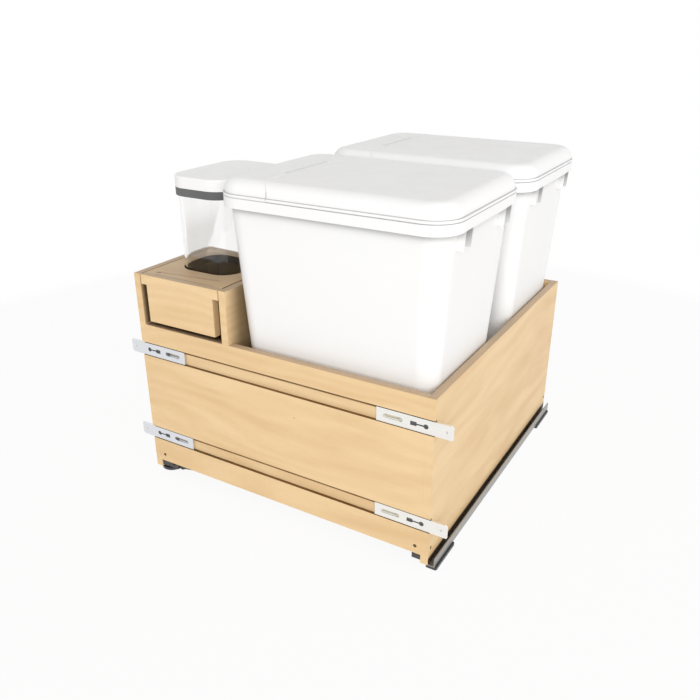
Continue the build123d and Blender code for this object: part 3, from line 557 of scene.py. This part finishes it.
def knot_trail(tree, axes, facing):
    """The rosy streak that trails from the knot across the caddy's top."""
    along = maths(tree, "SUBTRACT", axes["X"], KNOT_PLACE[0])
    middle = maths(tree, "ADD", maths(tree, "MULTIPLY", along, 0.12), KNOT_PLACE[1])
    only_x = put(tree, "ShaderNodeCombineXYZ", {0: axes["X"]}).outputs[0]
    waver = maths(tree, "MULTIPLY", noise(tree, stretched(tree, only_x, (60, 60, 60)), 1.0), 5 * MM)
    off = distance_from(tree, maths(tree, "SUBTRACT", axes["Y"], middle), waver)
    return product(tree, above(tree, off, 4.4 * MM, 1.4 * MM),
                   between(tree, along, 4 * MM, 100 * MM, 14 * MM), SHARES["knot_trail"])


def front_fleck(tree, axes, facing):
    """A tiny dark fleck in the front panel."""
    return product(tree, spot(tree, axes["X"], axes["Z"], FLECK_PLACE, (2.6 * MM, 1.2 * MM)),
                   SHARES["front_fleck"])


BOARDS = {
    "front_panel": maple("maple_front", "x", FRONT_SHIFT, grooved=True, shades=(under_caddy,),
                         stains=((front_fleck, KNOT),)),
    "left_side": maple("maple_left_side", "y", (0.9, 0.05, 0.31), True, True, shades=(beside_caddy,)),
    "right_side": maple("maple_right_side", "y", (2.3, -0.04, 0.12), True, True, shades=(beside_slide,)),
    "back_panel": maple("maple_back", "x", (3.1, 0.4, 0.06)),
    "bottom_panel": maple("maple_bottom", "x", (4.4, 0.2, 0.5)),
    "partition": maple("maple_partition", "y", (5.2, 0.1, 0.2), True, shades=(beside_bin,)),
    "caddy_cleat_left": maple("maple_cleats", "y", (5.2, 0.4, 0.2)),
    "organiser_back": maple("maple_organiser_back", "x", (6.1, 0.3, 0.1)),
    "caddy_front": maple("maple_caddy_front", "x", (7.4, 0.1, 0.03)),
    "caddy_top": maple("maple_caddy_top", "x", (8.2, 0.25, 0.3), painted_shade=0.44, shades=(caddy_seams, jar_hole),
                       stains=((knot_trail, ROSY), (small_knot, KNOT))),
    "caddy_side_left": maple("maple_caddy_sides", "y", (9.2, 0.15, 0.1), shades=(caddy_flanks, caddy_inside)),
    "caddy_back": maple("maple_caddy_back", "x", (10.3, 0.05, 0.2), shades=(caddy_inside,)),
}
BOARDS["caddy_side_right"] = BOARDS["caddy_side_left"]
BOARDS["caddy_bottom"] = BOARDS["caddy_back"]
BOARDS["caddy_cleat_right"] = BOARDS["caddy_cleat_left"]


# ---------------------------------------------------------------- plastics
def cap_recess_shade(tree, where):
    """Painted shade in the two small recesses in the cap."""
    axes = put(tree, "ShaderNodeSeparateXYZ", {0: where["Object"]}).outputs
    first, second = (spot(tree, axes["X"], axes["Y"], (CAP_X + hand * 24 * MM, CAP_Y + hand * 21 * MM),
                          (1.6 * MM, 1.6 * MM)) for hand in (-1, 1))
    return maths(tree, "MULTIPLY", maths(tree, "MAXIMUM", first, second), 0.75)


def white_plastic(name, colour, roughness, pebble=1.2 * MM, depth=0.03 * MM, rim=False, recess_shade=False):
    """White moulded plastic with a fine skin, slow flow marks and a little dust on top."""
    material, tree, shader, where = new_material(name)
    skin = use_group(tree, moulded_skin, {"Place": where["Object"], "Pebble Size": pebble})
    dust = use_group(tree, settled_dust, {"Place": where["Object"], "Normal": where["Normal"]})
    warmer = tuple(c * k for c, k in zip(colour, (1.0, 0.995, 0.985))) + (1,)
    base = tint(tree, above(tree, skin["Flow"], 0.35, 0.70), colour + (1,), warmer)
    base = tint(tree, maths(tree, "MULTIPLY", dust["Dust"], 0.03), base, (0.45, 0.43, 0.40, 1))
    if rim:
        shade = use_group(tree, rim_shade, {"Place": where["Object"]})
        base = tint(tree, shade["Shade"], base, (0.20, 0.20, 0.205, 1))
    # painted shade in the cap's two recesses
    if recess_shade:
        base = tint(tree, cap_recess_shade(tree, where), base, (0.18, 0.18, 0.19, 1))
    tree.links.new(base, shader.inputs["Base Color"])
    rough = maths(tree, "ADD", maths(tree, "MULTIPLY", skin["Flow"], 0.05), roughness - 0.025)
    rough = maths(tree, "ADD", rough, maths(tree, "MULTIPLY", dust["Dust"], 0.10))
    tree.links.new(rough, shader.inputs["Roughness"])
    shader.inputs["Specular IOR Level"].default_value = 0.45
    raise_skin(tree, shader, skin["Pebbles"], depth)
    return material


def clear_plastic():
    """Clear moulded plastic with faint upright flow lines, and painted shade low along its left side."""
    material, tree, shader, where = new_material("clear_jar")
    lines = noise(tree, stretched(tree, where["Object"], (160, 160, 5)), 1.0, 2.0)
    colour = tint(tree, above(tree, lines, 0.4, 0.7), (0.996, 0.994, 0.990, 1), (0.982, 0.978, 0.970, 1))
    axes = put(tree, "ShaderNodeSeparateXYZ", {0: where["Object"]}).outputs
    # painted shade: a dark brown band low along the jar's left side
    from_left = maths(tree, "SUBTRACT", axes["X"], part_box("canister_jar")[0].x)
    low = above(tree, axes["Z"], 450 * MM, 400 * MM)
    painted_shade = maths(tree, "MULTIPLY", above(tree, from_left, 1.6 * MM, 0.3 * MM), low)
    colour = tint(tree, maths(tree, "MULTIPLY", painted_shade, 0.55), colour, (0.30, 0.27, 0.23, 1))
    tree.links.new(colour, shader.inputs["Base Color"])
    tree.links.new(maths(tree, "MULTIPLY", lines, 0.06), shader.inputs["Roughness"])
    shader.inputs["Transmission Weight"].default_value = 1.0
    shader.inputs["IOR"].default_value = 1.49
    raise_skin(tree, shader, lines, 0.05 * MM)
    return material


GASKET_DEEP = (0.090, 0.090, 0.092, 1)
GASKET_PALE = (0.118, 0.118, 0.121, 1)
CLIP_DEEP = (0.040, 0.038, 0.037, 1)
CLIP_PALE = (0.075, 0.070, 0.066, 1)


def soft_rubber():
    """Mid-grey sealing rubber."""
    material, tree, shader, where = new_material("gasket_grey")
    skin = use_group(tree, moulded_skin, {"Place": where["Object"], "Pebble Size": 0.5 * MM})
    colour = tint(tree, above(tree, skin["Flow"], 0.3, 0.7), GASKET_DEEP, GASKET_PALE)
    tree.links.new(colour, shader.inputs["Base Color"])
    tree.links.new(maths(tree, "ADD", maths(tree, "MULTIPLY", skin["Pebbles"], 0.15), 0.48),
                   shader.inputs["Roughness"])
    raise_skin(tree, shader, skin["Pebbles"], 0.05 * MM)
    return material


def dark_plastic():
    """Dark glass-filled plastic of clips, levers and dampers."""
    material, tree, shader, where = new_material("dark_clip_plastic")
    skin = use_group(tree, moulded_skin, {"Place": where["Object"], "Pebble Size": 0.45 * MM})
    dust = use_group(tree, settled_dust, {"Place": where["Object"], "Normal": where["Normal"]})
    colour = tint(tree, above(tree, skin["Pebbles"], 0.35, 0.7), CLIP_DEEP, CLIP_PALE)
    colour = tint(tree, maths(tree, "MULTIPLY", dust["Dust"], 0.12), colour, (0.32, 0.30, 0.27, 1))
    tree.links.new(colour, shader.inputs["Base Color"])
    tree.links.new(maths(tree, "ADD", maths(tree, "MULTIPLY", skin["Flow"], 0.2), 0.38),
                   shader.inputs["Roughness"])
    raise_skin(tree, shader, skin["Pebbles"], 0.06 * MM)
    return material


def nylon():
    """Off-white nylon of the slides' carriages."""
    return white_plastic("carriage_nylon", (0.74, 0.73, 0.68), 0.45, 0.7 * MM, 0.05 * MM)


# ---------------------------------------------------------------- metals
def steel(name, pale, deep, roughness, stretch, metallic=1.0):
    """Rolled steel with streaks along its length and a slight mottle."""
    material, tree, shader, where = new_material(name)
    roll = use_group(tree, rolled_steel, {"Place": where["Object"], "Stretch": stretch})
    share = maths(tree, "ADD", maths(tree, "MULTIPLY", roll["Streaks"], 0.6),
                  maths(tree, "MULTIPLY", roll["Mottle"], 0.4))
    tree.links.new(tint(tree, above(tree, share, 0.3, 0.7), pale, deep), shader.inputs["Base Color"])
    tree.links.new(maths(tree, "ADD", maths(tree, "MULTIPLY", roll["Mottle"], 0.16), roughness - 0.08),
                   shader.inputs["Roughness"])
    shader.inputs["Metallic"].default_value = metallic
    raise_skin(tree, shader, roll["Streaks"], 0.015 * MM)
    return material


def bracket_zinc():
    """Bright zinc with painted light and shade, cooler and darker at the left, with pale walls in the small
    outer holes.
    """
    material, tree, shader, where = new_material("bright_zinc")
    roll = use_group(tree, rolled_steel, {"Place": where["Object"], "Stretch": ALONG_X})
    # painted light and shade: one colour at the left of the unit and a paler, warmer one at the right
    pale = lit_by_side(tree, where, (0.80, 0.815, 0.84, 1), (0.95, 0.93, 0.89, 1))
    deep = lit_by_side(tree, where, (0.74, 0.755, 0.785, 1), (0.89, 0.87, 0.83, 1))
    axes = put(tree, "ShaderNodeSeparateXYZ", {0: where["Object"]}).outputs
    outside = maths(tree, "ABSOLUTE", axes["X"])
    holes = [spot(tree, outside, axes["Z"], (right_face + 16 * MM, groove_middle(level) - BRACKET_DROP),
                  (3.2 * MM, 3.2 * MM)) for level in GROOVES]
    hole = above(tree, maths(tree, "MAXIMUM", *holes), 0.30, 0.42)
    colour = tint(tree, above(tree, roll["Streaks"], 0.3, 0.7), pale, deep)
    tree.links.new(tint(tree, hole, colour, (0.80, 0.80, 0.82, 1)), shader.inputs["Base Color"])
    tree.links.new(maths(tree, "SUBTRACT", 1.0, hole), shader.inputs["Metallic"])
    tree.links.new(maths(tree, "ADD", maths(tree, "MULTIPLY", roll["Mottle"], 0.16), 0.26),
                   shader.inputs["Roughness"])
    raise_skin(tree, shader, roll["Streaks"], 0.015 * MM)
    return material


def bracket_screw_steel():
    """Screw heads of the brackets: dark at the left and pale at the right, as painted shade and painted
    light.
    """
    material, tree, shader, where = new_material("bracket_screw_steel")
    roll = use_group(tree, rolled_steel, {"Place": where["Object"], "Stretch": ALONG_X})
    # painted shade at the left and painted light at the right
    colour = lit_by_side(tree, where, (0.10, 0.10, 0.12, 1), (0.58, 0.55, 0.44, 1))
    tree.links.new(tint(tree, maths(tree, "MULTIPLY", roll["Mottle"], 0.3), colour, (0.30, 0.28, 0.24, 1)),
                   shader.inputs["Base Color"])
    tree.links.new(maths(tree, "ADD", maths(tree, "MULTIPLY", roll["Mottle"], 0.2), 0.4),
                   shader.inputs["Roughness"])
    shader.inputs["Metallic"].default_value = 0.2
    return material


ALONG_X = (40, 1500, 1500)
ALONG_Y = (1500, 40, 1500)
FINISHES = {
    "bin_plastic": white_plastic("white_bin", (0.85, 0.85, 0.852), 0.34, rim=True),
    "lid_plastic": white_plastic("white_lid", (0.85, 0.85, 0.852), 0.40, 0.9 * MM, 0.045 * MM, rim=True),
    "cap_plastic": white_plastic("white_cap", (0.85, 0.85, 0.85), 0.32, 0.9 * MM, 0.03 * MM, recess_shade=True),
    "clear_plastic": clear_plastic(),
    "gasket_rubber": soft_rubber(),
    "zinc_plate": bracket_zinc(),
    "dark_steel": steel("dark_coated_steel", (0.075, 0.080, 0.088, 1), (0.050, 0.053, 0.060, 1), 0.34,
                        ALONG_Y, 0.5),
    "rail_steel": steel("rail_zinc", (0.43, 0.41, 0.385, 1), (0.36, 0.345, 0.32, 1), 0.40, ALONG_Y),
    "screw_steel": steel("screw_steel", (0.30, 0.26, 0.21, 1), (0.16, 0.13, 0.10, 1), 0.45, ALONG_X, 0.8),
    "carriage_nylon": nylon(),
    "dark_plastic": dark_plastic(),
}


# ---------------------------------------------------------------- pieces with eased edges
def eased(name, width, hard_angle=35):
    """A copy of a CAD node with its hard edges rounded, shown in the node's place."""
    mesh = nodes[name].data.copy()
    if "custom_normal" in mesh.attributes:
        mesh.attributes.remove(mesh.attributes["custom_normal"])
    shape = bmesh.new()
    shape.from_mesh(mesh)
    bmesh.ops.remove_doubles(shape, verts=shape.verts, dist=0.002 * MM)
    bmesh.ops.dissolve_limit(shape, angle_limit=math.radians(0.5), verts=shape.verts, edges=shape.edges)
    for face in shape.faces:
        face.smooth = True
    shape.to_mesh(mesh)
    shape.free()
    piece = bpy.data.objects.new(name + "_eased", mesh)
    bpy.context.scene.collection.objects.link(piece)
    bevel = piece.modifiers.new("eased_edges", "BEVEL")
    bevel.width = width
    bevel.segments = 2
    bevel.limit_method = "ANGLE"
    bevel.angle_limit = math.radians(hard_angle)
    bevel.use_clamp_overlap = False
    bevel.harden_normals = True
    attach(piece, body_of[name])
    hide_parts(name)
    return piece


def finish_piece(piece, material):
    """Gives a piece one material all over."""
    piece.data.materials.clear()
    piece.data.materials.append(material)


CLIP_STEEL = steel("clip_steel", (0.12, 0.12, 0.125, 1), (0.085, 0.085, 0.09, 1), 0.45, ALONG_X, 0.3)
BRACKET_SCREWS = bracket_screw_steel()
EASE_OF_SLOT = {"maple": 0.12 * MM, "zinc_plate": 0.3 * MM, "rail_steel": 0.25 * MM, "dark_steel": 0.35 * MM}
for name, slot in slot_of.items():
    material = BOARDS[name] if slot == "maple" else FINISHES[slot]
    if name.startswith("bracket_clip"):
        material = CLIP_STEEL
    if name == "bracket_screws":
        material = BRACKET_SCREWS
    finish_piece(nodes[name], material)
    if slot in EASE_OF_SLOT:
        finish_piece(eased(name, EASE_OF_SLOT[slot]), material)


# ---------------------------------------------------------------- camera, floor and light
CAMERA_PLACE = (0.5799, -1.0373, 0.7090)
CAMERA_DIP = 24.05              # degrees below level
CAMERA_TURN = 30.49             # degrees anticlockwise from straight on, seen from above
camera_data = bpy.data.cameras.new("photo_camera")
camera_data.lens = 37.68
camera_data.sensor_width = 36.0
camera = bpy.data.objects.new("photo_camera", camera_data)
camera.location = CAMERA_PLACE
camera.rotation_euler = (math.radians(90 - CAMERA_DIP), 0, math.radians(CAMERA_TURN))
bpy.context.scene.collection.objects.link(camera)
bpy.context.scene.camera = camera


def seen_directly(tree):
    """1 for rays from the camera, and for those that a mirror or clear plastic sends on."""
    path = tree.nodes.new("ShaderNodeLightPath").outputs
    seen = maths(tree, "MAXIMUM", path["Is Camera Ray"], path["Is Glossy Ray"])
    return maths(tree, "MAXIMUM", seen, path["Is Transmission Ray"])


def white_floor():
    """A pale floor that shows white where no shadow falls."""
    bpy.ops.mesh.primitive_plane_add(size=12)
    floor = bpy.context.object
    floor.name = "floor"
    floor.location.z = -0.2 * MM
    material, tree, shader, where = new_material("pale_floor")
    shader.inputs["Base Color"].default_value = (0.80, 0.80, 0.80, 1)
    shader.inputs["Roughness"].default_value = 0.9
    shader.inputs["Specular IOR Level"].default_value = 0.0
    from_middle = put(tree, "ShaderNodeVectorMath", {0: where["Object"]}, operation="LENGTH").outputs["Value"]
    far = above(tree, from_middle, 0.6, 1.3)
    share = maths(tree, "MULTIPLY", maths(tree, "MAXIMUM", far, 0.92), seen_directly(tree))
    white = put(tree, "ShaderNodeEmission", {"Color": (1, 1, 1, 1), "Strength": 1.0})
    mixed = put(tree, "ShaderNodeMixShader", {0: share, 1: shader.outputs[0], 2: white.outputs[0]})
    tree.links.new(mixed.outputs[0], tree.nodes["Material Output"].inputs["Surface"])
    finish_piece(floor, material)


def pale_world(strength):
    """Soft light from all round, which shows as white."""
    world = bpy.data.worlds.new("studio")
    bpy.context.scene.world = world
    world.use_nodes = True
    tree = world.node_tree
    lit = tree.nodes["Background"]
    lit.inputs["Color"].default_value = (1.0, 0.995, 0.985, 1)
    lit.inputs["Strength"].default_value = strength
    white = put(tree, "ShaderNodeBackground", {"Color": (1, 1, 1, 1), "Strength": 1.0})
    mixed = put(tree, "ShaderNodeMixShader",
                {0: seen_directly(tree), 1: lit.outputs[0], 2: white.outputs[0]})
    tree.links.new(mixed.outputs[0], tree.nodes["World Output"].inputs["Surface"])


def soft_lamp(name, azimuth, elevation, distance, size, watts):
    """A square lamp that looks at the middle of the unit; azimuth 0 is in front and 90 at the right."""
    data = bpy.data.lights.new(name, "AREA")
    data.size = size
    data.energy = watts
    lamp = bpy.data.objects.new(name, data)
    turn, rise = math.radians(azimuth), math.radians(elevation)
    lamp.location = (distance * math.sin(turn) * math.cos(rise), -distance * math.cos(turn) * math.cos(rise),
                     0.25 + distance * math.sin(rise))
    lamp.rotation_euler = (math.radians(90 - elevation), 0, turn)
    lamp.visible_glossy = False
    lamp.visible_transmission = False
    bpy.context.scene.collection.objects.link(lamp)


white_floor()
pale_world(0.62)
soft_lamp("key", 28, 22, 7.0, 4.6, 282)
soft_lamp("right", 85, 15, 4.0, 2.6, 33)
bpy.context.scene.view_settings.view_transform = "Standard"
